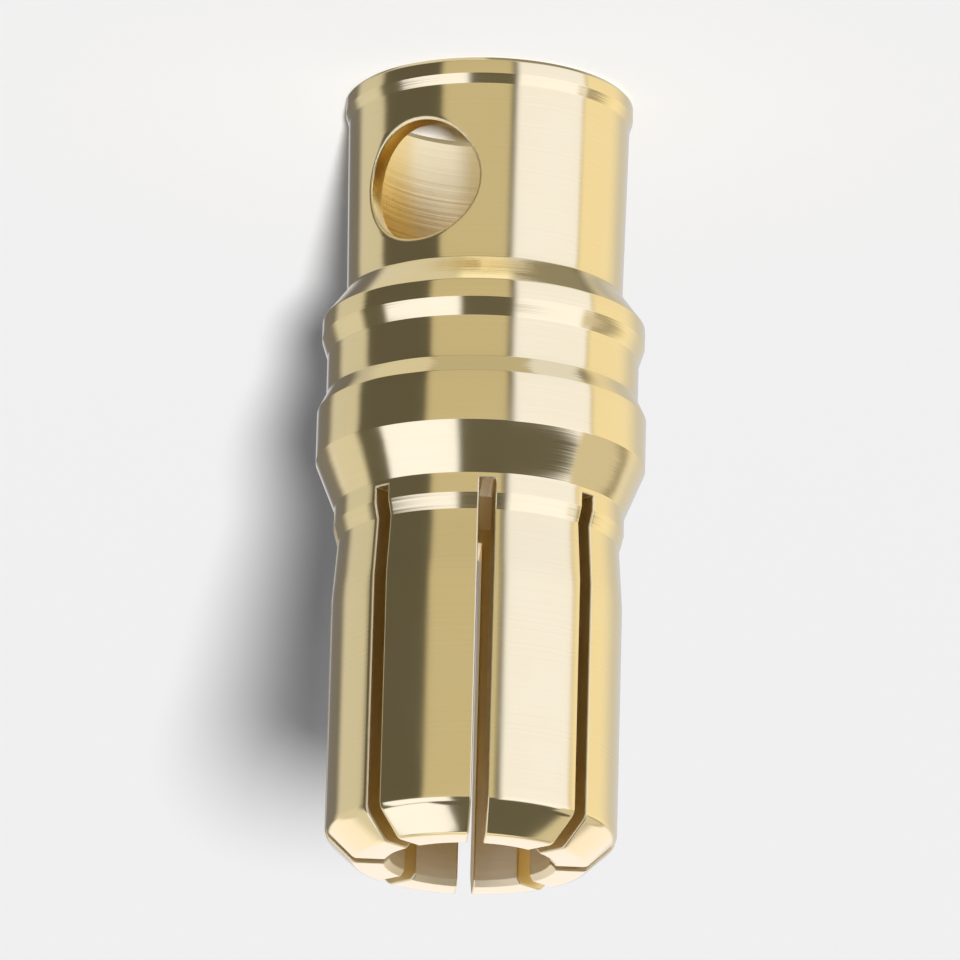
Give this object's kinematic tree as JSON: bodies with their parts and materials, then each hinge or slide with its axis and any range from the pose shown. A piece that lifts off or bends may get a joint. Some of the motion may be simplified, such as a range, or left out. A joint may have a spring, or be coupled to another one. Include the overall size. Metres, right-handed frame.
{
  "type": "bullet connector plug",
  "caption": "Turned, slotted and gold plated male bullet plug with a ringed collar and a side-drilled solder cup, which joins a battery lead.",
  "frame": {"origin": "centre of the solder cup's rim, which the part stands on", "axes": "+Z along the axis, from the solder cup to the pin's tip; -Y through the middle of one slot; the solder window looks between +X and -Y"},
  "size_m": [0.0092, 0.0092, 0.022],
  "materials": {
    "gold_plated_brass": "polished gold plate over turned brass"
  },
  "bodies": {
    "root": {"bullet_plug": "gold_plated_brass"}
  },
  "joints": []
}
